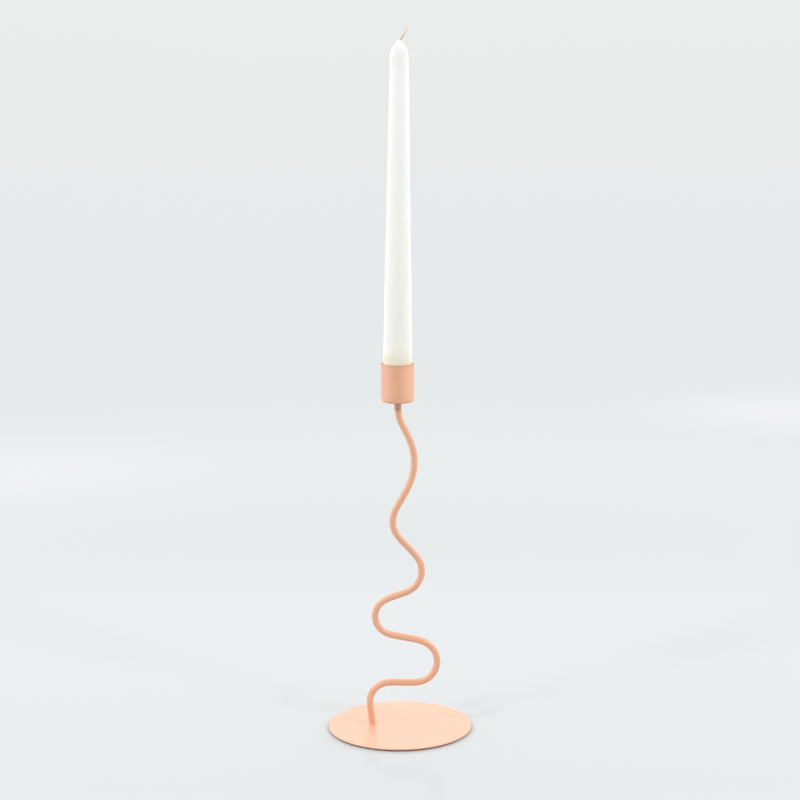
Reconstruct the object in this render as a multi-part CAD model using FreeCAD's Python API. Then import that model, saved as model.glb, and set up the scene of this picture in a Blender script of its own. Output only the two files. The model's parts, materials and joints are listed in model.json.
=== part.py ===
import FreeCAD, Part

import math
import os
from collections import namedtuple

from FreeCAD import Vector

# A candle holder: a rod bent into a wave carries a cup above a round plate,
# and a tapered dinner candle stands in the cup, leaning a little.
# Millimetres. +Z up, +X to the right, +Y away from the front.
# The origin lies under the plate's centre, on the surface the holder stands on.

# Foot pads, thin discs stuck under the plate
pad_count = 4
pad_diameter = 8.0
pad_thickness = 0.6
pad_inset = 5.0            # from the plate's edge to the pad's edge
first_pad_angle = 45.0

# Base plate
plate_diameter = 110.0
plate_thickness = 1.5
plate_edge_share = 0.27    # chamfer on both edges, of the thickness

# Candle
candle_diameter = 22.3     # at its widest, level with the cup's rim
candle_shoulder_diameter = 13.8
candle_length = 265.0      # from the foot to the top of the wax
candle_foot_narrowing = 1.2
candle_foot_chamfer = 0.8
candle_tip_length = 12.4   # the rounded tip, above the shoulder
candle_nib_height = 2.4    # the wax that climbs the wick
candle_nib_diameter = 4.6
nib_step_share = 0.65      # where the nib turns in to the wick, up the nib
nib_waist_share = 0.80     # the nib's width there, of its diameter
candle_lean = 0.74         # degrees towards +X
lean_pivot_share = 0.75    # up the bore, where the two axes cross
seat_clearance = 0.2       # under the lowest edge of the leaning foot

# Wick, cast into the whole length of the candle
wick_diameter = 1.9
wick_free_length = 11.0
wick_root_depth = 1.2      # below the wax's top, where the wick turns aside
wick_lower_bend_radius = 3.0
wick_upper_bend_radius = 8.0
wick_lower_share = 0.65    # of the free length, before the second turn
wick_lower_lean = 32.0
wick_upper_lean = 14.0
wick_trim_share = 0.5      # chamfer on the cut end, of the wick's radius

# Candle cup, drawn from sheet
cup_wall = 0.8
cup_height = 29.0
cup_corner_radius = 2.0
cup_lip_height = 3.0
cup_lip_flare = 0.25
cup_rim_ease_share = 0.25  # chamfer on both edges of the rim, of the wall
candle_clearance = 0.5     # between the candle's widest part and the bore

# Stem, one bent rod
rod_diameter = 5.2
stem_height = 252.5        # from the plate's top to the cup's underside
wave_reach = 28.8          # widest swing of the rod's axis from the cup's axis
foot_offset = 21.2         # the rod's foot, left of the cup's axis

# The bends from the top down, each the rod laid round a peg. A row gives the
# side that the rod swings to, 1 right or -1 left, and then three shares: how
# far it swings, of wave_reach; how high the bend sits, of stem_height; and its
# radius, of the widest that the nearest bends leave room for.
stem_bend_shares = (
    (-1, 0.00, 0.980, 0.34),
    (1, 0.42, 0.819, 0.60),
    (-1, -0.15, 0.636, 0.43),
    (1, 0.60, 0.484, 0.50),
    (-1, -0.64, 0.342, 0.41),
    (1, 1.00, 0.200, 0.47),
    (-1, -0.80, 0.072, 0.43),
)

# Weld that joins the rod to the plate from below, flush with the underside
rod_hole_clearance = 0.1
foot_weld_depth = 0.9
foot_weld_cover = 0.4      # weld under the rod's end
foot_weld_spread = 1.6     # beyond the rod, at the underside
foot_weld_root = 0.5       # beyond the rod, at the weld's top

# Weld bead under the cup, which runs a little way down the rod
cup_weld_length = 6.4
cup_weld_toe = 0.55
cup_weld_skin = 0.20
cup_weld_end = 0.16
toe_height_share = 0.16    # of the bead's length, down from the cup
ripple_share = 0.55        # where the bead swells again
ripple_swell_share = 1.3   # the swelling, of the bead's skin

cut_overrun = 1.0

plate_radius = plate_diameter / 2
rod_radius = rod_diameter / 2
wick_radius = wick_diameter / 2
plate_underside = pad_thickness
plate_top = plate_underside + plate_thickness
cup_underside = plate_top + stem_height
cup_floor = cup_underside + cup_wall
cup_bore_depth = cup_height - cup_wall
cup_bore_radius = candle_diameter / 2 + candle_clearance
cup_radius = cup_bore_radius + cup_wall
candle_radius = candle_diameter / 2
candle_foot_radius = candle_radius - candle_foot_narrowing / 2

Peg = namedtuple("Peg", "centre radius side")


def flat(x, z):
    """A point of the upright plane in which the rod is bent and profiles lie."""
    return Vector(x, 0, z)


def heading(degrees_from_up):
    """The direction that leans this much from +Z towards +X."""
    lean = math.radians(degrees_from_up)
    return flat(math.sin(lean), math.cos(lean))


UP = heading(0)
OUTWARD = Vector(1, 0, 0)


def line(start, end):
    return Part.LineSegment(start, end).toShape()


def tangent_arc(start, end, direction):
    """The arc that leaves start along direction and ends at end."""
    chord = end - start
    along = Vector(chord).normalize()
    bisector = (along + Vector(direction).normalize()).normalize()
    half_chord = chord.Length / (2 * bisector.dot(along))
    middle = start + bisector * half_chord
    return Part.Arc(start, middle, end).toShape()


def revolved(edges):
    """The solid that a closed outline in the upright plane sweeps about the Z axis."""
    face = Part.Face(Part.Wire(edges))
    return face.revolve(Vector(0, 0, 0), Vector(0, 0, 1), 360)


def straight_edges(points):
    """Straight edges from each point to the next."""
    return [line(a, b) for a, b in zip(points, points[1:])]


def round_bar(path_edges, start, direction, radius):
    """A round bar along the path, with flat ends."""
    section = Part.Wire(Part.makeCircle(radius, start, direction))
    return Part.Wire(path_edges).makePipeShell([section], True, False)


def stem_pegs():
    """The pegs round which the rod is bent, from the top down."""
    apexes = [flat(reach * wave_reach, plate_top + height * stem_height)
              for side, reach, height, radius in stem_bend_shares]
    room = [widest_pair(upper, lower) for upper, lower in zip(apexes, apexes[1:])]
    nearest = [min(pair) for pair in zip(room[:1] + room, room + room[-1:])]
    pegs = []
    for apex, limit, (side, reach, height, share) in zip(apexes, nearest, stem_bend_shares):
        radius = share * limit
        pegs.append(Peg(apex - OUTWARD * (side * radius), radius, side))
    return pegs


def widest_pair(upper, lower):
    """The sum of two bends' radii at which their arcs meet with no straight between."""
    across = abs(upper.x - lower.x)
    drop = upper.z - lower.z
    return (across ** 2 + drop ** 2) / (2 * across)


def leaving_point(peg, gap, shared_radius):
    """Where the rod leaves a peg for what lies at gap, as a unit direction from its centre."""
    swing = math.acos(shared_radius / gap.Length)
    angle = math.atan2(gap.z, gap.x) + peg.side * swing
    return flat(math.cos(angle), math.sin(angle))


def arc_round(peg, start, end):
    """The rod's arc on a peg, clockwise on the right side and the other way on the left."""
    begin = math.atan2(start.z - peg.centre.z, start.x - peg.centre.x)
    finish = math.atan2(end.z - peg.centre.z, end.x - peg.centre.x)
    turn = (peg.side * (begin - finish)) % (2 * math.pi)
    halfway = begin - peg.side * turn / 2
    middle = peg.centre + flat(math.cos(halfway), math.sin(halfway)) * peg.radius
    return Part.Arc(start, middle, end).toShape()


def stem_foot():
    """Where the rod's axis meets the plate's top."""
    return flat(-foot_offset, plate_top)


def foot_run():
    """The rod's last straight run: where it leaves the lowest peg, and its direction."""
    peg = stem_pegs()[-1]
    gap = stem_foot() - peg.centre
    start = peg.centre + leaving_point(peg, gap, peg.radius) * peg.radius
    return start, (stem_foot() - start).normalize()


def stem_path():
    """The rod's axis from the cup down: straight runs joined by tangent arcs."""
    pegs = stem_pegs()
    arrival = pegs[0].centre - OUTWARD * pegs[0].radius
    edges = [line(flat(arrival.x, cup_underside), arrival)]
    for peg, following in zip(pegs, pegs[1:]):
        gap = following.centre - peg.centre
        normal = leaving_point(peg, gap, peg.radius + following.radius)
        departure = peg.centre + normal * peg.radius
        edges.append(arc_round(peg, arrival, departure))
        arrival = following.centre - normal * following.radius
        edges.append(line(departure, arrival))
    departure, downward = foot_run()
    edges.append(arc_round(pegs[-1], arrival, departure))
    through_plate = stem_foot() + downward * (plate_thickness + cut_overrun)
    edges.append(line(departure, through_plate))
    return edges


def below(height):
    """A block that holds everything under this height."""
    corner = Vector(-plate_radius, -plate_radius, -cut_overrun)
    return Part.makeBox(plate_diameter, plate_diameter, height + cut_overrun, corner)


def make_stem():
    edges = stem_path()
    start = edges[0].Vertexes[0].Point
    rod = round_bar(edges, start, UP, rod_radius)
    return rod.cut(below(plate_underside + foot_weld_cover))


def foot_weld_plug():
    """The countersunk space that the foot weld fills, the rod's end included."""
    foot, (start, downward) = stem_foot(), foot_run()
    middle = foot + downward * (plate_thickness / -downward.z)
    widest = rod_radius + foot_weld_spread
    root = rod_radius + foot_weld_root
    return Part.makeCone(widest, root, foot_weld_depth, middle)


def make_foot_weld(stem):
    return foot_weld_plug().cut(stem)


def make_base_plate():
    disc = Part.makeCylinder(plate_radius, plate_thickness, Vector(0, 0, plate_underside))
    rims = [edge for edge in disc.Edges if isinstance(edge.Curve, Part.Circle)]
    disc = disc.makeChamfer(plate_thickness * plate_edge_share, rims)
    start, downward = foot_run()
    above = stem_foot() - downward * rod_diameter
    drill_length = rod_diameter + plate_thickness + rod_diameter
    drill = Part.makeCylinder(rod_radius + rod_hole_clearance, drill_length, above, downward)
    return disc.cut([drill, foot_weld_plug()])


def make_foot_pad(number):
    angle = math.radians(first_pad_angle + number * 360 / pad_count)
    ring = plate_radius - pad_inset - pad_diameter / 2
    centre = Vector(ring * math.cos(angle), ring * math.sin(angle), 0)
    return Part.makeCylinder(pad_diameter / 2, pad_thickness, centre)


def make_candle_cup():
    """A round cup with a rounded base corner and a lip that flares a little."""
    rim = cup_underside + cup_height
    lip_start = rim - cup_lip_height
    ease = cup_wall * cup_rim_ease_share
    inner_corner = max(cup_corner_radius - cup_wall, cup_wall)
    rim_radius = cup_radius + cup_lip_flare
    corner_start = flat(cup_radius - cup_corner_radius, cup_underside)
    corner_end = flat(cup_radius, cup_underside + cup_corner_radius)
    base = [line(flat(0, cup_underside), corner_start),
            tangent_arc(corner_start, corner_end, OUTWARD)]
    wall_points = [
        corner_end,
        flat(cup_radius, lip_start),
        flat(rim_radius, rim - ease),
        flat(rim_radius - ease, rim),
        flat(rim_radius - cup_wall + ease, rim),
        flat(rim_radius - cup_wall, rim - ease),
        flat(cup_bore_radius, lip_start),
        flat(cup_bore_radius, cup_floor + inner_corner),
        flat(cup_bore_radius - inner_corner, cup_floor),
        flat(0, cup_floor),
        flat(0, cup_underside),
    ]
    return revolved(base + straight_edges(wall_points))


def make_cup_weld(stem):
    """A thin bead, widest at the cup, that swells once more before it ends."""
    toe_drop = cup_weld_length * toe_height_share
    ripple_drop = cup_weld_length * ripple_share
    swell = cup_weld_skin * ripple_swell_share
    bead = revolved(straight_edges([
        flat(0, cup_underside),
        flat(rod_radius + cup_weld_toe, cup_underside),
        flat(rod_radius + cup_weld_skin, cup_underside - toe_drop),
        flat(rod_radius + swell, cup_underside - ripple_drop),
        flat(rod_radius + cup_weld_end, cup_underside - cup_weld_length),
        flat(0, cup_underside - cup_weld_length),
        flat(0, cup_underside),
    ]))
    return bead.cut(stem)


def make_wick():
    """The wick stands in the wax, leans aside at the top and turns up again."""
    lower_run = wick_free_length * wick_lower_share
    upper_run = wick_free_length - lower_run
    root = flat(0, candle_length - wick_root_depth)
    knee = root + heading(wick_lower_lean) * lower_run
    end = knee + heading(wick_upper_lean) * upper_run
    root_cut = wick_lower_bend_radius * math.tan(math.radians(wick_lower_lean) / 2)
    knee_turn = math.radians(wick_lower_lean - wick_upper_lean)
    knee_cut = wick_upper_bend_radius * math.tan(knee_turn / 2)
    bend_start = root - UP * root_cut
    bend_end = root + heading(wick_lower_lean) * root_cut
    knee_start = knee - heading(wick_lower_lean) * knee_cut
    knee_end = knee + heading(wick_upper_lean) * knee_cut
    path = [
        line(flat(0, 0), bend_start),
        tangent_arc(bend_start, bend_end, UP),
        line(bend_end, knee_start),
        tangent_arc(knee_start, knee_end, heading(wick_lower_lean)),
        line(knee_end, end),
    ]
    wick = round_bar(path, flat(0, 0), UP, wick_radius)
    tip_edge = max(wick.Edges, key=lambda edge: edge.BoundBox.ZMax + edge.BoundBox.ZMin)
    return wick.makeChamfer(wick_radius * wick_trim_share, [tip_edge])


def make_candle(wick):
    """A turned taper with a narrower foot, a rounded tip and a nib of wax at the wick."""
    shoulder = flat(candle_shoulder_diameter / 2, candle_length - candle_tip_length)
    widest = flat(candle_radius, cup_bore_depth)
    nib_radius = candle_nib_diameter / 2
    nib_base = flat(nib_radius, candle_length - candle_nib_height)
    nib_waist = flat(nib_radius * nib_waist_share,
                     nib_base.z + candle_nib_height * nib_step_share)
    foot_edge = flat(candle_foot_radius, candle_foot_chamfer)
    foot_face = flat(candle_foot_radius - candle_foot_chamfer, 0)
    nib_top = flat(wick_radius, candle_length)
    side = straight_edges([flat(0, 0), foot_face, foot_edge, widest, shoulder])
    tip = tangent_arc(shoulder, nib_base, shoulder - widest)
    nib = straight_edges([nib_base, nib_waist, nib_top, flat(0, candle_length), flat(0, 0)])
    return revolved(side + [tip] + nib).cut(wick)


def seated(piece):
    """Lean a piece of the candle and stand its lower edge just above the cup's floor."""
    lean = math.radians(candle_lean)
    sideways = -math.tan(lean) * cup_bore_depth * lean_pivot_share
    edge_dip = (candle_foot_radius - candle_foot_chamfer) * math.sin(lean)
    piece = piece.copy()
    piece.rotate(Vector(0, 0, 0), Vector(0, 1, 0), candle_lean)
    piece.translate(flat(sideways, cup_floor + seat_clearance + edge_dip))
    return piece


def make_pieces():
    stem = make_stem()
    wick = make_wick()
    pieces = {
        "base_plate": make_base_plate(),
        "stem": stem,
        "foot_weld": make_foot_weld(stem),
        "cup_weld": make_cup_weld(stem),
        "candle_cup": make_candle_cup(),
        "candle": seated(make_candle(wick)),
        "wick": seated(wick),
    }
    for number in range(pad_count):
        pieces[f"foot_pad_{number + 1}"] = make_foot_pad(number)
    return pieces


os.makedirs("parts", exist_ok=True)
for node, shape in make_pieces().items():
    shape.exportStep(f"parts/{node}.step")
    print(f"{node}: {len(shape.Solids)} solid, {shape.Volume:.1f} mm3, valid {shape.isValid()}")

for peg in stem_pegs():
    print(f"stem bend: radius {peg.radius:.1f} mm")
print(f"rod length: {sum(edge.Length for edge in stem_path()):.1f} mm")
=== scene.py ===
import json
import math
from random import Random

import bpy
from mathutils import Matrix, Vector, noise

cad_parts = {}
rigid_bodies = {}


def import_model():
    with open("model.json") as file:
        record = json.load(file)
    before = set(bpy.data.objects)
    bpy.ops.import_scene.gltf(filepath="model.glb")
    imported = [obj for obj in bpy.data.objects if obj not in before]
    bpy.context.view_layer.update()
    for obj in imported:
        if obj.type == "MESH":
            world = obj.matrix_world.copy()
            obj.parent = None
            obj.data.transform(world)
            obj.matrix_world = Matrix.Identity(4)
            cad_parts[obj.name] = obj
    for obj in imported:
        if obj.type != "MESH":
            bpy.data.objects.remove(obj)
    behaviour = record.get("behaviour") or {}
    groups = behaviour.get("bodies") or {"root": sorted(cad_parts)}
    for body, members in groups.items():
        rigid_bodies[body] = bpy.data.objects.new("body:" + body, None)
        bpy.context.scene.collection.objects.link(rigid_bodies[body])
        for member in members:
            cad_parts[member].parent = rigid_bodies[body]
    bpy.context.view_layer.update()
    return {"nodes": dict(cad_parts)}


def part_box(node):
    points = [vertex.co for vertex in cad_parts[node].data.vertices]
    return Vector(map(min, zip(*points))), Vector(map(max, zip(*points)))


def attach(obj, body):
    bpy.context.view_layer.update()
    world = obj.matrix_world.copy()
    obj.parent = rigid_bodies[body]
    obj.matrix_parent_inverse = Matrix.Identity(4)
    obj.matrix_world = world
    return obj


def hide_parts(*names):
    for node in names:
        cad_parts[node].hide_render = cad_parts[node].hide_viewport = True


# Looks for the wavy candle holder: peach powder coat, a white dinner candle with
# a braided wick, a rough coated weld under the cup, and a pale studio sweep.
# Everything is in metres, in the frame of the CAD model.
MM = 0.001

# Start from an empty file
for leftover in list(bpy.data.objects):
    bpy.data.objects.remove(leftover)

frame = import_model()

# Sizes read from the frame
plate_low, plate_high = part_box("base_plate")
cup_low, cup_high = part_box("candle_cup")

plate_radius = plate_high.x
plate_top = plate_high.z
plate_underside = plate_low.z
rod_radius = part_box("stem")[1].y
cup_underside = cup_low.z
cup_rim = cup_high.z

# Camera, as the photograph was taken
camera_place = Vector((0.0017, -1.33496, 0.47499))
camera_pitch = 9.324       # degrees below the horizon
camera_roll = 0.408        # degrees clockwise, which turns the picture the other way
camera_lens = 81.2         # for a sensor 36 wide

# Base plate
edge_radius = 0.40 * MM
lower_edge_rise = 1.05 * MM    # the underside's rounding is wider than it is high
lower_edge_reach = 2.4 * MM
foot_x = -21.2 * MM
foot_lean = 13.0           # degrees, of the rod where it enters the plate
foot_weld_cover = 0.4 * MM
coat_collar = 0.32 * MM    # the coat's small rise where the rod meets the plate
weld_radius = 4.2 * MM

# Stem, bend by bend from the top down: the side that the rod swings to, how far
# from the cup's axis, how high above the plate, and the radius, in millimetres
stem_bends = (
    (-1, 0.0, 242.9, 7.2),
    (1, 12.3, 206.7, 43.3),
    (-1, -4.9, 160.4, 18.1),
    (1, 17.7, 122.0, 17.9),
    (-1, -19.0, 86.3, 14.9),
    (1, 29.2, 50.5, 17.2),
    (-1, -23.4, 19.1, 14.9),
)
bend_easing = 4.0 * MM     # the length over which a bend fades into the next run
stem_step = 0.5 * MM
rod_waver = 0.02 * MM      # of its radius, where the coat is thicker or thinner

# Candle cup
cup_wall = 0.8 * MM
cup_corner = 2.0 * MM
cup_lip_height = 3.0 * MM
cup_lip_flare = 0.25 * MM
cup_pole = 0.4 * MM        # the radius of the small flat that closes it at its axis
cup_radius = cup_high.x - cup_lip_flare
cup_bore = cup_radius - cup_wall
# where the painted shade of the rim and of the cup's inside is full, and where it has faded out
inside_tint = (0.25 * MM, 0.50 * MM)     # outwards from the bore
crest_tint = (0.75 * MM, 1.20 * MM)      # outwards from the bore
crest_height = (-0.25 * MM, -0.45 * MM)  # upwards from the rim
rim_height = (-1.0 * MM, -1.3 * MM)      # upwards from the rim

# Candle, in its own upright frame before it is leaned and seated
candle_length = 265.0 * MM
candle_radius = 10.85 * MM
candle_bulge = 0.18 * MM   # the taper's slight fullness above the rim
candle_foot_radius = 10.55 * MM
candle_shoulder_radius = 6.85 * MM
candle_tip_length = 12.4 * MM
candle_nib_radius = 1.70 * MM
candle_foot_round = 0.9 * MM
candle_pole = 0.5 * MM
candle_waver = 0.055 * MM  # the slow unevenness of its radius
candle_ripple = 0.02 * MM  # and the quick one
candle_widest = cup_rim - cup_underside - cup_wall
tip_shares = (1.0, 0.965, 0.91, 0.85, 0.735, 0.55, 0.34, 0.145, -0.06)  # the tip's fullness, upwards
# the nib's end: share of its radius, and height above the wax
nib_end = ((0.78, 0.05 * MM), (0.6, 0.03 * MM), (0.35, 0.0), (0.2, -0.05 * MM))
candle_lean = 0.74         # degrees towards +X
candle_seat = Vector((-0.273 * MM, 0, 255.726 * MM))

# Wick
wick_root_depth = 1.2 * MM
wick_tail = 3 * MM         # below its root, inside the wax
wick_foot_radius = 0.72 * MM
wick_end_radius = 1.05 * MM
wick_strands = 4           # each way round the braid
wick_lay = 5.2 * MM        # one turn of a strand
wick_root_aside = 0.3 * MM
wick_frays = 46            # loose fibres at its cut end
fray_root = 0.35 * MM      # how far inside the end they start
fray_lengths = (0.5 * MM, 1.0 * MM)
fray_radii = (0.07 * MM, 0.065 * MM, 0.05 * MM, 0.02 * MM)
wick_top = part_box("wick")[1].z
wick_waxed = 10 * MM       # from its top down to where wax has soaked it
wick_drying = 8 * MM       # the height over which it dries, upwards from there
# its legs above the wax: degrees towards +X, and length
wick_legs = ((27, 3.35 * MM), (32, 3.3 * MM), (26, 2.2 * MM), (16, 1.28 * MM))

# Weld bead: a flange under the cup, and a skirt that runs down the rod
flange_reach = 1.35 * MM   # beyond the rod, where it spreads under the cup
flange_root = 0.5 * MM     # beyond the rod, where the skirt begins
flange_drop = 0.22 * MM
cup_gap = 0.03 * MM        # between the bead and the cup's underside
bead_start = 0.25 * MM     # how far below the cup the skirt begins
bead_reach = 6.9 * MM      # how far it runs down the rod, before its unevenness
bead_uneven = 1.6 * MM
bead_skew = 0.7 * MM       # how much further it runs on the right than in the middle
bead_skin = 0.17 * MM
bead_ripple = 0.085 * MM
bead_lumps = 0.10 * MM
bead_toe = 0.55 * MM
bead_sink = 0.03 * MM      # how far its foot sinks into the rod
core_drops = (6.0 * MM, 0.1 * MM)    # of its inner surface, hidden in the rod
core_share = 0.9

# Stage: heights, and distances from the holder's axis
wall_distance = 2.6
wall_corner = 0.9
wall_height = 3.2
floor_rings = (0.0001, 0.4, 0.9, 1.4)
# where one tone begins to give way to the next, and where it has
floor_end = (0.35, 1.1)        # the real floor, to the backdrop
front_blend = (-0.12, 0.35)    # the real floor's painted shade in front, giving way to painted light behind
wall_blend = (0.7, 1.7)
high_blend = (0.18, 0.42)
top_blend = (0.42, 0.70)
# where gloss begins to mirror the backdrop, and where it does so fully
mirrored_height = (0.74, 0.38)
mirrored_depth = (-0.2, 0.5)
mirrored_width = (1.0, 4.0)    # squared, and here from fully to half as much

# Colours, linear
coat_colour = (0.90, 0.465, 0.287)
# painted shade: the rim's darker band, and the cup's inside, darker and redder from light bounced
# within it
rim_shade_colour = (0.73, 0.37, 0.247)
bore_shade_colour = (0.78, 0.28, 0.11)
burnt_colour = (0.36, 0.20, 0.14)
ashy_colour = (0.50, 0.47, 0.38)
wax_colour = (0.748, 0.753, 0.722)
# painted light: warm bounce from the peach cup on the wax above the rim
bounce_light_wax_colour = (0.86, 0.83, 0.69)
lit_wax_colour = (1.0, 0.98, 0.78)    # painted light: where the coated rim glows through the wax
floor_tone = (0.833, 0.866, 0.873)
floor_colour = (0.672, 0.696, 0.704)
floor_bounce = 0.8         # share of the floor's colour that it throws back on the holder
wall_tone = (0.795, 0.823, 0.831)
high_tone = (0.815, 0.831, 0.825)
top_tone = (0.831, 0.847, 0.839)
light_pool_tone = (0.872, 0.889, 0.897)
floor_gloss = 0.032        # share of the light that the floor mirrors
# painted light: two brighter pools on the backdrop, by centre and radius
light_pool_patches = (((-0.50, 0.98, 0), 0.20), ((0.60, 1.42, 0), 0.16))
waxed_cotton = (0.60, 0.41, 0.12)
dry_cotton = (0.86, 0.78, 0.52)
cotton_fluff = (0.97, 0.93, 0.80)
rubber_dark = (0.30, 0.29, 0.28)
rubber_pale = (0.42, 0.41, 0.39)

# Stains on the coat, and patches of painted light: centre, radius, strength and colour
# painted light: the plate's warm bounce on the rod's foot
foot_bounce_light = ((foot_x, 0, plate_top), 13.0 * MM, 0.5, (0.90, 0.41, 0.21))
scorch = ((-4.6 * MM, -10.6 * MM, cup_underside + 0.35 * MM), 1.1 * MM, 0.8, (0.20, 0.17, 0.14))
weld_marks_and_glint = (
    ((-0.6 * MM, -2.9 * MM, cup_underside - 1.6 * MM), 0.75 * MM, 0.65, (0.22, 0.13, 0.10)),
    ((-0.3 * MM, -2.9 * MM, cup_underside - 5.0 * MM), 0.85 * MM, 0.60, (0.25, 0.15, 0.11)),
    # painted highlight: a pale grey glint on the bead's right; the two marks above are dark stains
    ((1.1 * MM, -2.7 * MM, cup_underside - 4.2 * MM), 0.80 * MM, 0.90, (0.50, 0.50, 0.38)),
)

# Fine relief of the surfaces
coat_relief = 0.03 * MM
wax_relief = 0.05 * MM
cotton_relief = 0.06 * MM
rubber_relief = 0.04 * MM

# Coat: its roughness and gloss, on the rod and cup, on the plate and on the rim's crest
coat_dullness = 0.31
plate_dullness = 0.42
coat_ior = 1.8
coat_gloss = 0.5
plate_gloss = 1.0
crest_gloss = 0.1
rim_shade_share = 0.7            # how far the rim's band of painted shade turns to its colour
crest_share = 0.9

# Wax: how far light travels in it, and the heights above the rim at which its painted light and
# shade change
wax_scatter = 36.0 * MM
bounce_light_wax_height = 22 * MM
lit_wax_height = 5 * MM
lit_wax_depth = 20 * MM    # below the rim
upper_wax_shade = (90 * MM, 230 * MM, 0.96)    # from, to, and the painted shade reached
# painted shade, darker towards the tip
tip_wax_shade = (208 * MM, 234 * MM, 0.84)

# Light from around the holder: dim from the camera's side, bright from the sides and behind
ambient_level = 0.05
side_level = 1.50
back_level = 0.10
up_level = 0.50
glow_level = 2.3           # a bright band behind, just above the picture
# where the surround begins to change with a direction's upward or backward part, and ends
glow_rise = (0.05, 0.20)
glow_fall = (0.60, 0.35)
glow_depth = (0.3, 0.8)
seen_height = (0.30, 0.20)
seen_depth = (-0.1, 0.2)
high_box_watts = 7.1
high_box_size = 0.25
high_box_aim = (0, 0, 0.2)
left_box_place = (-1.02, -0.78, 1.35)
right_box_place = (1.02, -0.85, 1.35)


def node(tree, kind, settings=None, inputs=None):
    """Add a shader node, set its properties, and fill or link its inputs."""
    made = tree.nodes.new("ShaderNode" + kind)
    for name, value in (settings or {}).items():
        setattr(made, name, value)
    for name, value in (inputs or {}).items():
        socket = made.inputs[name]
        if isinstance(value, bpy.types.NodeSocket):
            tree.links.new(value, socket)
        elif isinstance(value, tuple) and len(value) == 3 and socket.type == "RGBA":
            socket.default_value = (*value, 1)
        else:
            socket.default_value = value
    return made


def new_material(name):
    """An empty material, its node tree and the object's own coordinates."""
    material = bpy.data.materials.new(name)
    material.use_nodes = True
    tree = material.node_tree
    tree.nodes.clear()
    place = node(tree, "TexCoord").outputs["Object"]
    return material, tree, place


def finish_material(tree, shader):
    node(tree, "OutputMaterial", inputs={"Surface": shader})


def math_node(tree, operation, first, second):
    return node(tree, "Math", {"operation": operation}, {0: first, 1: second}).outputs[0]


def noise_node(tree, place, scale, detail=2.0, roughness=0.5):
    """A noise field whose features are about 1 / scale metres across."""
    made = node(tree, "TexNoise", inputs={"Vector": place, "Scale": scale,
                                          "Detail": detail, "Roughness": roughness})
    return made.outputs["Fac"]


def mixed(tree, share, first, second):
    """A colour that runs from first to second with share."""
    made = node(tree, "Mix", {"data_type": "RGBA"},
                {"Factor": share, "A": first, "B": second})
    return made.outputs["Result"]


def ranged(tree, value, low, high, to_low=0.0, to_high=1.0, smooth=False):
    kind = "SMOOTHSTEP" if smooth else "LINEAR"
    made = node(tree, "MapRange", {"interpolation_type": kind},
                {"Value": value, "From Min": low, "From Max": high,
                 "To Min": to_low, "To Max": to_high})
    return made.outputs["Result"]


def shade(colour, factor):
    return tuple(channel * factor for channel in colour)


def bumped(tree, height, strength, depth):
    """A normal that follows a relief of this depth."""
    made = node(tree, "Bump", inputs={"Height": height, "Strength": strength,
                                      "Distance": depth})
    return made.outputs["Normal"]


def parts_of(tree, place):
    """A place's X, Y and Z, and its distance from the upright axis."""
    split = node(tree, "SeparateXYZ", inputs={"Vector": place})
    x, y, z = (split.outputs[axis] for axis in "XYZ")
    flat = node(tree, "CombineXYZ", inputs={"X": x, "Y": y}).outputs["Vector"]
    out = node(tree, "VectorMath", {"operation": "LENGTH"}, {0: flat}).outputs["Value"]
    return x, y, z, out


def within(tree, value, start, reach, share=1.0):
    """share as far as the first reach from start, fading to 0 at the second."""
    full, faded = reach
    return ranged(tree, value, start + faded, start + full, 0.0, share)


def spot(tree, place, centre, radius, softness=0.5):
    """1 within radius of centre, fading to 0 outside it."""
    away = node(tree, "VectorMath", {"operation": "DISTANCE"},
                {0: place, 1: tuple(centre)}).outputs["Value"]
    return ranged(tree, away, radius * (1 + softness), radius * (1 - softness), smooth=True)


def backdrop_share(tree, behind, low):
    """1 where a ray shows the backdrop, 0 where it only brings light. The camera sees it
    everywhere, and gloss mirrors as much of it as stands behind the holder and low."""
    path = node(tree, "LightPath")
    mirrored = math_node(tree, "MAXIMUM", path.outputs["Is Glossy Ray"],
                         path.outputs["Is Transmission Ray"])
    mirrored = math_node(tree, "MULTIPLY", mirrored, math_node(tree, "MULTIPLY", behind, low))
    return math_node(tree, "MAXIMUM", path.outputs["Is Camera Ray"], mirrored)


def rim_and_bore_painted_shade(tree, place, tone):
    """Painted shade and bounce light: the cup's inside darker and redder than the outside, and a
    darker band over its rim. Gives the tone, and the gloss, which is low on the rim's crest."""
    _, _, height, out = parts_of(tree, place)
    inside = within(tree, out, cup_bore, inside_tint)
    crest = math_node(tree, "MULTIPLY", within(tree, out, cup_bore, crest_tint, crest_share),
                      within(tree, height, cup_rim, crest_height))
    lip = within(tree, height, cup_rim, rim_height, rim_shade_share)
    # painted shade: a darker band over the top of the rim
    tone = mixed(tree, lip, tone, rim_shade_colour)
    # painted shade and bounce light: the inside and the rim's crest darker and redder
    tone = mixed(tree, math_node(tree, "MAXIMUM", inside, crest), tone, bore_shade_colour)
    return tone, ranged(tree, crest, 0.0, crest_share, coat_gloss, crest_gloss)


def burnt(tree, place, tone, patchy):
    """Blotches of brown and ash, as a weld's heat leaves them."""
    blotch = noise_node(tree, place, 520, 4, 0.6)
    share = ranged(tree, blotch, 0.50, 0.64, 0.0, patchy, smooth=True)
    tone = mixed(tree, share, tone, burnt_colour)
    ash = noise_node(tree, place, 760, 3)
    share = ranged(tree, ash, 0.60, 0.70, 0.0, patchy, smooth=True)
    return mixed(tree, share, tone, ashy_colour)


def marked(tree, place, tone, marks):
    """Ragged stains and patches of painted light, each given by its centre, radius, strength and
    colour.
    """
    for centre, radius, strength, colour in marks:
        ragged = ranged(tree, noise_node(tree, place, 1500, 3), 0.3, 0.6, 0.4, 1.0)
        mask = math_node(tree, "MULTIPLY", spot(tree, place, centre, radius), ragged)
        tone = mixed(tree, math_node(tree, "MULTIPLY", mask, strength), tone, colour)
    return tone


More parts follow.
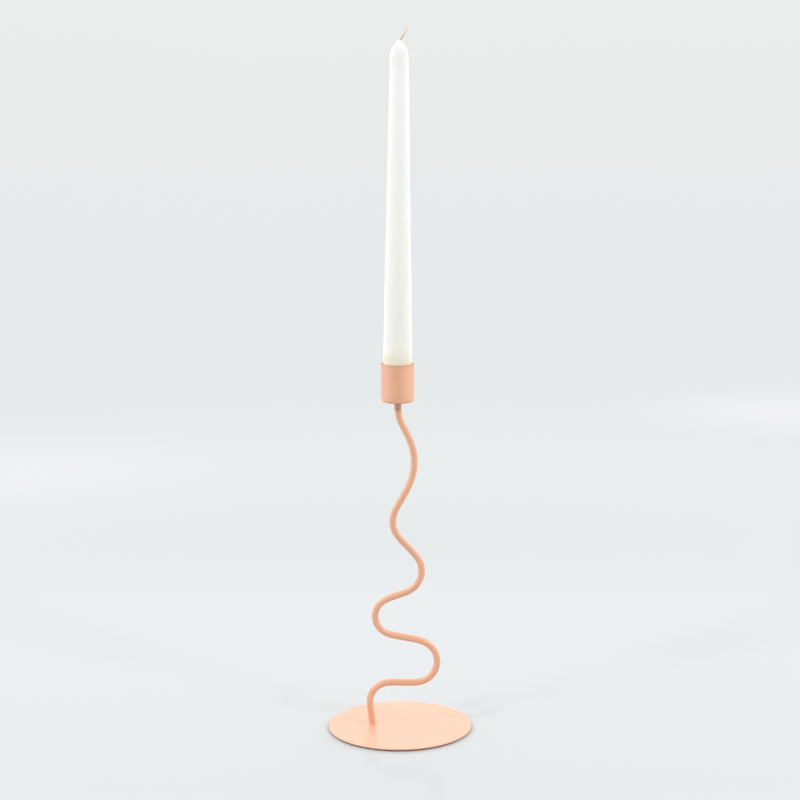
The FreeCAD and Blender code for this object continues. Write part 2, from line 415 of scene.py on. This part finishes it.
def powder_coat(name, marks=(), patchy=0.0, depth=1.0, rim_shaded=False,
                dullness=coat_dullness, gloss=coat_gloss):
    """Satin peach powder coat: an even tone, a fine grain and a faint orange peel."""
    material, tree, place = new_material(name)
    broad = noise_node(tree, place, 45, 3)
    grain = noise_node(tree, place, 2600, 2)
    peel = noise_node(tree, place, 900, 2, 0.45)
    tone = mixed(tree, ranged(tree, broad, 0.3, 0.7), shade(coat_colour, 0.975 * depth),
                 shade(coat_colour, 1.025 * depth))
    tone = mixed(tree, ranged(tree, grain, 0.35, 0.65, 0.0, 0.10), tone,
                 shade(coat_colour, 0.82))
    # painted shade on the rim and in the cup's inside
    if rim_shaded:
        tone, gloss = rim_and_bore_painted_shade(tree, place, tone)
    if patchy:
        tone = burnt(tree, place, tone, patchy)
    tone = marked(tree, place, tone, marks)
    roughness = ranged(tree, broad, 0.3, 0.7, dullness, dullness + 0.05)
    relief = math_node(tree, "ADD", peel, math_node(tree, "MULTIPLY", grain, 0.25))
    coat = node(tree, "BsdfPrincipled", inputs={
        "Base Color": tone, "Roughness": roughness,
        "Normal": bumped(tree, relief, 0.35, coat_relief),
        "Specular IOR Level": gloss, "IOR": coat_ior})
    finish_material(tree, coat.outputs["BSDF"])
    return material


def wax_tone(tree, place, bloom, rim):
    """White with painted shade, a little greyer upwards and darker at the tip, and painted light,
    warm and bright in a band around the rim.
    """
    tone = mixed(tree, ranged(tree, bloom, 0.3, 0.7), shade(wax_colour, 0.985), wax_colour)
    height = node(tree, "SeparateXYZ", inputs={"Vector": place}).outputs["Z"]
    # painted shade: greyer upwards and darker towards the tip
    start, end, factor = upper_wax_shade
    tone = mixed(tree, ranged(tree, height, rim + start, rim + end), tone,
                 shade(wax_colour, factor))
    start, end, factor = tip_wax_shade
    tone = mixed(tree, ranged(tree, height, rim + start, rim + end, smooth=True), tone,
                 shade(wax_colour, factor))
    # painted light: warm bounce and brightness in a band around the rim
    above = ranged(tree, height, rim - lit_wax_depth, rim - 1 * MM, smooth=True)
    warm = math_node(tree, "MULTIPLY", above,
                     ranged(tree, height, rim + bounce_light_wax_height, rim, smooth=True))
    lit = math_node(tree, "MULTIPLY", above,
                    ranged(tree, height, rim + lit_wax_height, rim, smooth=True))
    tone = mixed(tree, warm, tone, bounce_light_wax_colour)
    return mixed(tree, lit, tone, lit_wax_colour), lit


def wax_material(rim):
    """Translucent white wax, faintly streaked along its length, with painted warm light near the
    rim.
    """
    material, tree, place = new_material("candle_wax_surface")
    stretched = node(tree, "Mapping", inputs={"Vector": place, "Scale": (1, 1, 0.06)})
    streaks = noise_node(tree, stretched.outputs["Vector"], 420, 3)
    bloom = noise_node(tree, place, 160, 4, 0.6)
    frost = noise_node(tree, place, 1900, 2)
    tone, lit = wax_tone(tree, place, bloom, rim)
    roughness = ranged(tree, bloom, 0.3, 0.7, 0.38, 0.50)
    relief = math_node(tree, "ADD", streaks, math_node(tree, "MULTIPLY", frost, 0.2))
    wax = node(tree, "BsdfPrincipled", inputs={
        "Base Color": tone, "Roughness": roughness,
        "Normal": bumped(tree, relief, 0.3, wax_relief),
        "Subsurface Weight": ranged(tree, lit, 0.0, 1.0, 1.0, 0.15),
        "Subsurface Radius": (1.0, 0.95, 0.85), "Subsurface Scale": wax_scatter,
        "IOR": 1.44, "Specular IOR Level": 0.10})
    finish_material(tree, wax.outputs["BSDF"])
    return material


def cotton_material(bottom, top):
    """Cotton yarn: waxed and golden where it leaves the candle, cream and dry at its end."""
    material, tree, place = new_material("wick_cotton_yarn")
    height = node(tree, "SeparateXYZ", inputs={"Vector": place}).outputs["Z"]
    dry = ranged(tree, height, bottom, top, smooth=True)
    fibres = noise_node(tree, place, 5200, 4, 0.65)
    tone = mixed(tree, dry, waxed_cotton, dry_cotton)
    tone = mixed(tree, ranged(tree, fibres, 0.3, 0.7, 0.0, 0.45), tone, cotton_fluff)
    cotton = node(tree, "BsdfPrincipled", inputs={
        "Base Color": tone, "Roughness": ranged(tree, dry, 0, 1, 0.55, 0.9),
        "Normal": bumped(tree, fibres, 0.6, cotton_relief),
        "Sheen Weight": 0.4, "Sheen Roughness": 0.5})
    finish_material(tree, cotton.outputs["BSDF"])
    return material


def rubber_material():
    material, tree, place = new_material("pad_rubber_surface")
    grain = noise_node(tree, place, 2200, 3)
    tone = mixed(tree, grain, rubber_dark, rubber_pale)
    rubber = node(tree, "BsdfPrincipled", inputs={
        "Base Color": tone, "Roughness": 0.8,
        "Normal": bumped(tree, grain, 0.5, rubber_relief)})
    finish_material(tree, rubber.outputs["BSDF"])
    return material


def mesh_object(name, points, faces, material, sharp_degrees=50):
    """A smooth-shaded mesh whose corners above sharp_degrees stay crisp."""
    mesh = bpy.data.meshes.new(name)
    mesh.from_pydata([tuple(p) for p in points], [], faces)
    mesh.validate()
    mesh.update()
    mesh.polygons.foreach_set("use_smooth", [True] * len(mesh.polygons))
    mesh.set_sharp_from_angle(angle=math.radians(sharp_degrees))
    mesh.materials.append(material)
    made = bpy.data.objects.new(name, mesh)
    bpy.context.scene.collection.objects.link(made)
    return made


def ring_faces(rings, around, closed=False):
    """Quads between successive rings of as many points, and back to the first if closed."""
    faces = []
    last = rings if closed else rings - 1
    for ring in range(last):
        following = (ring + 1) % rings
        for i in range(around):
            j = (i + 1) % around
            faces.append((ring * around + i, ring * around + j,
                          following * around + j, following * around + i))
    return faces


def capped_rings(rings, around):
    """Faces of rings that are closed at both ends by a fan of one polygon."""
    faces = ring_faces(rings, around)
    faces.append(tuple(reversed(range(around))))
    faces.append(tuple(range((rings - 1) * around, rings * around)))
    return faces


def quarter_round(centre, radius, start_degrees, end_degrees, steps):
    """Points of an arc in the profile plane, both ends included."""
    points = []
    for step in range(steps + 1):
        angle = math.radians(start_degrees + (end_degrees - start_degrees) * step / steps)
        points.append((centre[0] + radius * math.cos(angle),
                       centre[1] + radius * math.sin(angle)))
    return points


def lathe_points(profile, around):
    points = []
    for radius, height in profile:
        for i in range(around):
            angle = 2 * math.pi * i / around
            points.append(Vector((radius * math.cos(angle), radius * math.sin(angle), height)))
    return points


def make_plate():
    """The disc, with rounded edges and the coat drawn up a little where the rod enters."""
    around, across = 240, 26
    hole_x = rod_radius / math.cos(math.radians(foot_lean))
    rings = []

    def between(share, inner_x, inner_y, outer, height):
        ring = []
        for i in range(around):
            angle = 2 * math.pi * i / around
            near = Vector((foot_x + inner_x * math.cos(angle), inner_y * math.sin(angle)))
            far = Vector((outer * math.cos(angle), outer * math.sin(angle)))
            flat = near.lerp(far, share)
            ring.append(Vector((flat.x, flat.y, height)))
        return ring

    flat_edge = plate_radius - edge_radius
    for step in range(5):
        turn = math.radians(90 * step / 4)
        reach = coat_collar * (1 - math.cos(turn))
        rise = coat_collar * (1 - math.sin(turn))
        rings.append(between(0, hole_x + reach, rod_radius + reach, flat_edge, plate_top + rise))
    hole_x += coat_collar
    hole_y = rod_radius + coat_collar
    for step in range(1, across + 1):
        share = (step / across) ** 1.6
        rings.append(between(share, hole_x, hole_y, flat_edge, plate_top))
    upper = quarter_round((flat_edge, plate_top - edge_radius), edge_radius, 90, 0, 5)[1:]
    lower = []
    for across_share, down_share in quarter_round((0, 0), 1.0, 0, -90, 8):
        lower.append((plate_radius - lower_edge_reach * (1 - across_share),
                      plate_underside + lower_edge_rise * (1 + down_share)))
    for radius, height in upper + lower:
        rings.append(between(1, hole_x, hole_y, radius, height))
    flat_edge = plate_radius - lower_edge_reach
    for step in range(1, across + 1):
        share = 1 - (step / across) ** 0.7
        rings.append(between(share, weld_radius, weld_radius, flat_edge, plate_underside))
    points = [p for ring in rings for p in ring]
    faces = ring_faces(len(rings), around, closed=True)
    plate = mesh_object("plate_body", points, faces, plate_coat)
    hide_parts("base_plate")
    return plate


def tangent_point(side, gap, shared_radius):
    """Where a run to or from gap touches a bend, as a unit direction from its centre."""
    angle = math.atan2(gap.y, gap.x) + side * math.acos(shared_radius / gap.length)
    return Vector((math.cos(angle), math.sin(angle)))


def straight_run(start, end):
    steps = max(int((end - start).length / stem_step), 1)
    return [start.lerp(end, step / steps) for step in range(steps)]


def arc_run(centre, radius, side, start, end):
    begin = math.atan2(start.y - centre.y, start.x - centre.x)
    finish = math.atan2(end.y - centre.y, end.x - centre.x)
    turn = (side * (begin - finish)) % (2 * math.pi)
    steps = max(int(turn * radius / stem_step), 1)
    angles = [begin - side * turn * step / steps for step in range(steps)]
    return [centre + Vector((math.cos(a), math.sin(a))) * radius for a in angles]


def stem_line():
    """The rod's axis from the cup down: its bends and runs, eased into one flowing line."""
    bends = []
    for side, reach, height, radius in stem_bends:
        centre = Vector(((reach - side * radius) * MM, plate_top + height * MM))
        bends.append((side, centre, radius * MM))
    overrun = 4 * bend_easing
    side, centre, radius = bends[0]
    arrival = Vector((0, centre.y))
    points = straight_run(Vector((0, cup_underside + overrun)), arrival)
    for (side, centre, radius), (_, next_centre, next_radius) in zip(bends, bends[1:]):
        direction = tangent_point(side, next_centre - centre, radius + next_radius)
        departure = centre + direction * radius
        points += arc_run(centre, radius, side, arrival, departure)
        arrival = next_centre - direction * next_radius
        points += straight_run(departure, arrival)
    side, centre, radius = bends[-1]
    foot = Vector((foot_x, plate_top))
    departure = centre + tangent_point(side, foot - centre, radius) * radius
    points += arc_run(centre, radius, side, arrival, departure)
    points += straight_run(departure, foot + (foot - departure).normalized() * overrun)
    for _ in range(round(2 * (bend_easing / stem_step) ** 2)):
        inner = [(a + b * 2 + c) / 4 for a, b, c in zip(points, points[1:], points[2:])]
        points = points[:1] + inner + points[-1:]
    return [Vector((p.x, 0, p.y)) for p in points]


def rod_axis_at(height):
    """The rod's axis at a height near the cup, where the rod never turns back."""
    for above, under in zip(stem_axis, stem_axis[1:]):
        if under.z <= height:
            return above.lerp(under, (above.z - height) / (above.z - under.z))


def make_stem():
    """The rod, round and smooth under its coat, from the cup into the plate's weld."""
    bottom = plate_underside + foot_weld_cover
    line = [p for p in stem_axis if bottom < p.z < cup_underside][::2]
    radii = [rod_radius + rod_waver * noise.noise(p * 60) for p in line]
    points, faces = tube(line, radii, 40, 0)
    rod = mesh_object("stem_rod", points, faces, stem_coat)
    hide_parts("stem")
    return rod


def make_cup():
    """The drawn cup: rounded base corner, faint lip and a rolled-off rim."""
    around = 160
    half = cup_wall / 2
    rim_radius = cup_radius + cup_lip_flare
    outer_corner = quarter_round((cup_radius - cup_corner, cup_underside + cup_corner),
                                 cup_corner, -90, 0, 8)
    inner_corner = cup_corner - cup_wall
    floor_height = cup_underside + cup_wall
    profile = [(cup_pole, cup_underside), (cup_radius * 0.5, cup_underside)] + outer_corner
    lip_base = cup_rim - cup_lip_height
    for step in range(1, 9):
        profile.append((cup_radius, cup_underside + cup_corner
                        + (lip_base - cup_underside - cup_corner) * step / 8))
    for step in range(1, 13):
        rise = step / 13
        profile.append((cup_radius + cup_lip_flare * rise ** 6,
                        lip_base + (cup_lip_height - half) * rise))
    profile += quarter_round((rim_radius - half, cup_rim - half), half, 0, 180, 10)
    for step in range(12, 0, -1):
        rise = step / 13
        profile.append((cup_bore + cup_lip_flare * rise ** 6,
                        lip_base + (cup_lip_height - half) * rise))
    profile += [(cup_bore, lip_base), (cup_bore, floor_height + inner_corner)]
    profile += quarter_round((cup_bore - inner_corner, floor_height + inner_corner),
                             inner_corner, 0, -90, 5)[1:]
    profile += [(cup_radius * 0.5, floor_height), (cup_pole, floor_height)]
    points = lathe_points(profile, around)
    cup = mesh_object("cup_body", points, capped_rings(len(profile), around), cup_coat)
    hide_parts("candle_cup")
    return cup


def seat_matrix():
    """Leans an upright piece of the candle and stands it in the cup."""
    lean = Matrix.Rotation(math.radians(candle_lean), 4, "Y")
    return Matrix.Translation(candle_seat) @ lean


def between_points(a, b, c, d, t):
    """The point at t from b to c on a smooth curve that runs through all four."""
    return 0.5 * (2 * b + (c - a) * t + (2 * a - 5 * b + 4 * c - d) * t ** 2
                  + (3 * b - a - 3 * c + d) * t ** 3)


def eased(share, values):
    """The value at share along evenly spaced values, run through smoothly."""
    last = len(values) - 1
    span = min(int(share * last), last - 1)
    a, b, c, d = (values[min(max(span + k, 0), last)] for k in (-1, 0, 1, 2))
    return between_points(a, b, c, d, share * last - span)


def candle_profile():
    """Radius and height up the wax, from the centre of the foot to the nib."""
    shoulder = candle_length - candle_tip_length
    profile = [(candle_pole, 0)]
    profile += quarter_round((candle_foot_radius - candle_foot_round, candle_foot_round),
                             candle_foot_round, -90, 0, 6)
    for step in range(1, 13):
        share = step / 12
        radius = candle_foot_radius + (candle_radius - candle_foot_radius) * share
        profile.append((radius, candle_foot_round
                        + (candle_widest - candle_foot_round) * share))
    steps = 150
    for step in range(1, steps + 1):
        share = step / steps
        radius = candle_radius + (candle_shoulder_radius - candle_radius) * share
        radius += candle_bulge * math.sin(math.pi * min(share * 2.2, 1))
        profile.append((radius, candle_widest + (shoulder - candle_widest) * share))
    fullness = candle_shoulder_radius - candle_nib_radius
    steps = 28
    for step in range(1, steps + 1):
        share = step / steps
        radius = candle_nib_radius + fullness * eased(share, tip_shares)
        profile.append((radius, shoulder + candle_tip_length * share))
    for inward, rise in nib_end:
        profile.append((candle_nib_radius * inward, candle_length + rise))
    return profile


def make_candle():
    """The wax, with the slight waviness of a dipped and rolled taper."""
    around = 128
    profile = candle_profile()
    points = lathe_points(profile, around)
    for point in points:
        radius = math.hypot(point.x, point.y)
        if radius > candle_nib_radius:
            wander = noise.noise(Vector((point.x * 45, point.y * 45, point.z * 14)))
            ripple = noise.noise(Vector((point.x * 160, point.y * 160, point.z * 38 + 7)))
            grow = 1 + (wander * candle_waver + ripple * candle_ripple) / radius
            point.x *= grow
            point.y *= grow
    candle = mesh_object("candle_body", points, capped_rings(len(profile), around), wax)
    candle.data.transform(seat_matrix())
    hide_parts("candle")
    return candle


def wick_line(steps):
    """The wick's centre line above and just inside the wax: straight, aside, then upright."""
    root = Vector((wick_root_aside, 0, candle_length - wick_root_depth))
    corners = [root - Vector((0, 0, wick_tail)), root]
    for lean, length in wick_legs:
        angle = math.radians(lean)
        corners.append(corners[-1] + Vector((math.sin(angle), 0, math.cos(angle))) * length)
    return [eased(step / steps, corners) for step in range(steps + 1)]


def frames_along(line):
    """Two directions square to the line at each of its points, without twist."""
    frames = []
    side = Vector((0, 1, 0))
    for i in range(len(line)):
        ahead = line[min(i + 1, len(line) - 1)] - line[max(i - 1, 0)]
        ahead.normalize()
        across = side.cross(ahead).normalized()
        frames.append((across, ahead.cross(across).normalized()))
    return frames


def tube(points, radii, sides, offset):
    """Points and capped faces of a tube along a line; offset is the first point's number."""
    frames = frames_along(points)
    made = []
    for centre, radius, (across, over) in zip(points, radii, frames):
        for i in range(sides):
            angle = 2 * math.pi * i / sides
            made.append(centre + (across * math.cos(angle) + over * math.sin(angle)) * radius)
    faces = [tuple(index + offset for index in face)
             for face in capped_rings(len(points), sides)]
    return made, faces


def make_wick():
    """A round braid of cotton strands over a core, with a slightly frayed cut end."""
    rng = Random(7)
    steps = 130
    line = wick_line(steps)
    frames = frames_along(line)
    lengths = [0.0]
    for a, b in zip(line, line[1:]):
        lengths.append(lengths[-1] + (b - a).length)
    total = lengths[-1]

    def width(distance):
        share = distance / total
        return wick_foot_radius + (wick_end_radius - wick_foot_radius) * share ** 1.5

    points, faces = [], []

    def add_tube(centres, radii, sides):
        made, made_faces = tube(centres, radii, sides, len(points))
        points.extend(made)
        faces.extend(made_faces)

    add_tube(line[:-2], [width(s) * 0.55 for s in lengths[:-2]], 12)
    for way in (1, -1):
        for strand in range(wick_strands):
            centres, radii = [], []
            for point, (across, over), distance in zip(line, frames, lengths):
                turn = way * 2 * math.pi * distance / wick_lay
                turn += 2 * math.pi * (strand + (0.5 if way < 0 else 0)) / wick_strands
                weave = math.cos(2 * math.pi * distance / wick_lay * wick_strands
                                 + math.pi * strand) * way
                out = width(distance) * (0.66 + 0.09 * weave)
                centres.append(point + (across * math.cos(turn) + over * math.sin(turn)) * out)
                radii.append(width(distance) * 0.30)
            add_tube(centres, radii, 8)
    end = line[-1]
    ahead = (line[-1] - line[-3]).normalized()
    for _ in range(wick_frays):
        turn = rng.uniform(0, 2 * math.pi)
        reach = wick_end_radius * math.sqrt(rng.random()) * 0.9
        across, over = frames[-1]
        outward = across * math.cos(turn) + over * math.sin(turn)
        start = end + outward * reach - ahead * fray_root
        bend = ahead + outward * rng.uniform(0.05, 0.7) + Vector(
            (rng.uniform(-0.3, 0.2), rng.uniform(-0.25, 0.25), 0))
        length = rng.uniform(*fray_lengths)
        centres = [start + (ahead * (1 - t) + bend * t) * length * t for t in (0, 0.35, 0.7, 1)]
        add_tube(centres, fray_radii, 5)
    wick = mesh_object("wick_braid", points, faces, cotton)
    wick.data.transform(seat_matrix())
    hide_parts("wick")
    return wick


def make_cup_weld():
    """A lumpy bead under the cup, rippled, running out in an uneven edge on the rod."""
    around, down = 96, 44
    points = []
    flange = 5
    for ring in range(flange):
        share = ring / flange
        for i in range(around):
            angle = 2 * math.pi * i / around
            uneven = 1 + 0.16 * noise.noise(Vector((math.cos(angle) * 1.3,
                                                    math.sin(angle) * 1.3, 3)))
            radius = rod_radius + flange_reach * uneven * (1 - share) + flange_root * share
            height = cup_underside - cup_gap - flange_drop * share ** 2
            points.append(Vector((radius * math.cos(angle), radius * math.sin(angle), height)))
    for ring in range(down + 1):
        share = ring / down
        for i in range(around):
            angle = 2 * math.pi * i / around
            around_noise = noise.noise(Vector((math.cos(angle) * 1.7, math.sin(angle) * 1.7, 9)))
            length = bead_reach + bead_uneven * around_noise + bead_skew * math.cos(angle)
            drop = bead_start + (length - bead_start) * share
            fade = (1 - share) ** 0.5
            toe = bead_toe * math.exp(-share * 9)
            wave = math.sin(math.pi * (drop / MM * 0.62 + 0.25 * around_noise))
            ripple = bead_ripple * abs(wave)
            lumps = bead_lumps * noise.noise(Vector((math.cos(angle) * 3, math.sin(angle) * 3,
                                                     drop / MM * 0.9)))
            skin = (bead_skin + ripple + lumps) * fade + toe - bead_sink
            centre = rod_axis_at(cup_underside - drop)
            radius = rod_radius + skin
            points.append(centre + Vector((radius * math.cos(angle),
                                           radius * math.sin(angle), 0)))
    rings = flange + down + 1
    for drop in core_drops:
        centre = rod_axis_at(cup_underside - drop)
        for i in range(around):
            angle = 2 * math.pi * i / around
            outward = Vector((math.cos(angle), math.sin(angle), 0))
            points.append(centre + outward * rod_radius * core_share)
        rings += 1
    faces = ring_faces(rings, around, closed=True)
    bead = mesh_object("cup_weld_bead", points, faces, weld_coat, sharp_degrees=80)
    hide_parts("cup_weld")
    return bead


def use_material(names, material):
    """Give carried-over CAD nodes a material."""
    for name in names:
        for slot in frame["nodes"][name].material_slots:
            slot.material = material


def make_stage():
    """Floor and wall in one sweep: a real floor near the holder, and beyond it the
    photograph's even tone, which is seen and mirrored but gives no light."""
    profile = [(reach, 0) for reach in floor_rings]
    profile += quarter_round((wall_distance - wall_corner, wall_corner), wall_corner, -90, 0, 16)
    for step in range(1, 5):
        profile.append((wall_distance, wall_corner + (wall_height - wall_corner) * step / 4))
    around = 128
    points = lathe_points(profile, around)
    faces = ring_faces(len(profile), around)
    sweep = mesh_object("studio_sweep", points, faces, stage_material())
    return sweep


def stage_material():
    """Pale paper: satin near the holder, and further off the tone that the camera sees."""
    material, tree, place = new_material("studio_sweep_surface")
    x, y, z, away = parts_of(tree, place)
    near_edge = ranged(tree, away, *floor_end, smooth=True)
    soft = noise_node(tree, place, 1.1, 2)
    tone = mixed(tree, ranged(tree, away, *wall_blend, smooth=True), floor_tone, wall_tone)
    tone = mixed(tree, ranged(tree, z, *high_blend), tone, high_tone)
    tone = mixed(tree, ranged(tree, z, *top_blend), tone, top_tone)
    # painted pools of light on the backdrop
    for centre, radius in light_pool_patches:
        tone = mixed(tree, spot(tree, place, centre, radius, 0.9), tone, light_pool_tone)
    tone = mixed(tree, ranged(tree, soft, 0.35, 0.65, 0.0, 0.08), tone, shade(wall_tone, 0.98))
    aside = ranged(tree, math_node(tree, "MULTIPLY", x, x), *mirrored_width, 1.0, 0.5)
    behind = math_node(tree, "MULTIPLY", aside, ranged(tree, y, *mirrored_depth, smooth=True))
    seen = backdrop_share(tree, behind, ranged(tree, z, *mirrored_height, smooth=True))
    backdrop = node(tree, "Emission", inputs={"Color": tone, "Strength": 1.0})
    unseen = node(tree, "BsdfTransparent")
    beyond = node(tree, "MixShader", inputs={0: seen, 1: unseen.outputs[0],
                                             2: backdrop.outputs[0]})
    # painted shade in front and painted light behind, evening out the lamps' light on the real floor
    nearer = mixed(tree, soft, shade(floor_colour, 0.92), shade(floor_colour, 0.94))
    further = mixed(tree, soft, shade(floor_colour, 1.06), shade(floor_colour, 1.08))
    lit = mixed(tree, ranged(tree, y, *front_blend), nearer, further)
    shown = backdrop_share(tree, 1.0, 1.0)
    paper = node(tree, "BsdfDiffuse", inputs={
        "Color": mixed(tree, shown, shade(floor_colour, floor_bounce), lit)})
    sheen = node(tree, "BsdfGlossy", inputs={"Roughness": 0.15})
    floor = node(tree, "MixShader", inputs={0: floor_gloss, 1: paper.outputs[0],
                                            2: sheen.outputs[0]})
    both = node(tree, "MixShader", inputs={0: near_edge, 1: floor.outputs[0],
                                           2: beyond.outputs[0]})
    finish_material(tree, both.outputs[0])
    return material


def light_surroundings():
    """A wide soft surround, brighter at the sides, behind and above than in front."""
    world = bpy.data.worlds.new("studio")
    bpy.context.scene.world = world
    world.use_nodes = True
    tree = world.node_tree
    tree.nodes.clear()
    towards = node(tree, "TexCoord").outputs["Generated"]
    split = node(tree, "SeparateXYZ", inputs={"Vector": towards})
    x, y, z = (split.outputs[axis] for axis in "XYZ")
    side = math_node(tree, "MULTIPLY", math_node(tree, "MULTIPLY", x, x), side_level)
    back = math_node(tree, "MULTIPLY", math_node(tree, "MAXIMUM", y, 0.0), back_level)
    up = math_node(tree, "MULTIPLY", math_node(tree, "MAXIMUM", z, 0.0), up_level)
    rising = ranged(tree, z, *glow_rise, smooth=True)
    fading = ranged(tree, z, *glow_fall, smooth=True)
    behind = ranged(tree, y, *glow_depth, 0.0, glow_level, smooth=True)
    glow = math_node(tree, "MULTIPLY", math_node(tree, "MULTIPLY", rising, fading), behind)
    level = math_node(tree, "ADD", math_node(tree, "ADD", side, back),
                      math_node(tree, "ADD", up, ambient_level))
    level = math_node(tree, "ADD", level, glow)
    seen = backdrop_share(tree, ranged(tree, y, *seen_depth, smooth=True),
                          ranged(tree, z, *seen_height, smooth=True))
    surround = node(tree, "Background", inputs={"Color": (1.0, 1.0, 1.0), "Strength": level})
    backdrop = node(tree, "Background", inputs={"Color": top_tone, "Strength": 1.0})
    both = node(tree, "MixShader", inputs={0: seen, 1: surround.outputs[0],
                                           2: backdrop.outputs[0]})
    node(tree, "OutputWorld", inputs={"Surface": both.outputs[0]})


def soft_box(name, place, aim, size, watts):
    """A square area light that looks at aim."""
    lamp = bpy.data.lights.new(name, "AREA")
    lamp.shape = "SQUARE"
    lamp.size = size
    lamp.energy = watts
    box = bpy.data.objects.new(name, lamp)
    bpy.context.scene.collection.objects.link(box)
    box.location = place
    box.rotation_euler = (Vector(aim) - Vector(place)).to_track_quat("-Z", "Y").to_euler()
    return box


def make_lights():
    light_surroundings()
    for name, place in (("left_high_box", left_box_place), ("right_high_box", right_box_place)):
        soft_box(name, place, high_box_aim, high_box_size, high_box_watts)


def make_camera():
    lens = bpy.data.cameras.new("camera")
    lens.lens = camera_lens
    lens.clip_end = 100
    camera = bpy.data.objects.new("camera", lens)
    bpy.context.scene.collection.objects.link(camera)
    tilt = Matrix.Rotation(math.radians(90 - camera_pitch), 4, "X")
    roll = Matrix.Rotation(math.radians(-camera_roll), 4, "Z")
    camera.matrix_world = Matrix.Translation(camera_place) @ tilt @ roll
    bpy.context.scene.camera = camera


plate_coat = powder_coat("peach_coat_plate", dullness=plate_dullness, gloss=plate_gloss)
stem_coat = powder_coat("peach_coat_stem", marks=[foot_bounce_light], depth=0.97)
cup_coat = powder_coat("peach_coat_cup", marks=[scorch], rim_shaded=True)
weld_coat = powder_coat("peach_coat_weld", marks=weld_marks_and_glint, patchy=0.6, depth=0.88)
wax = wax_material(cup_rim)
rubber = rubber_material()
cotton = cotton_material(wick_top - wick_waxed, wick_top - wick_waxed + wick_drying)

stem_axis = stem_line()

make_camera()
make_lights()
make_stage()

for piece, slot_name in ((make_plate(), "coated_steel"), (make_stem(), "coated_steel"),
                         (make_cup(), "coated_steel"), (make_cup_weld(), "coated_weld")):
    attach(piece, "holder")
for piece, slot_name in ((make_candle(), "candle_wax"), (make_wick(), "wick_cotton")):
    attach(piece, "candle")

use_material(["foot_weld"], weld_coat)
use_material([name for name in frame["nodes"] if name.startswith("foot_pad_")], rubber)

view = bpy.context.scene.view_settings
view.view_transform = "Standard"
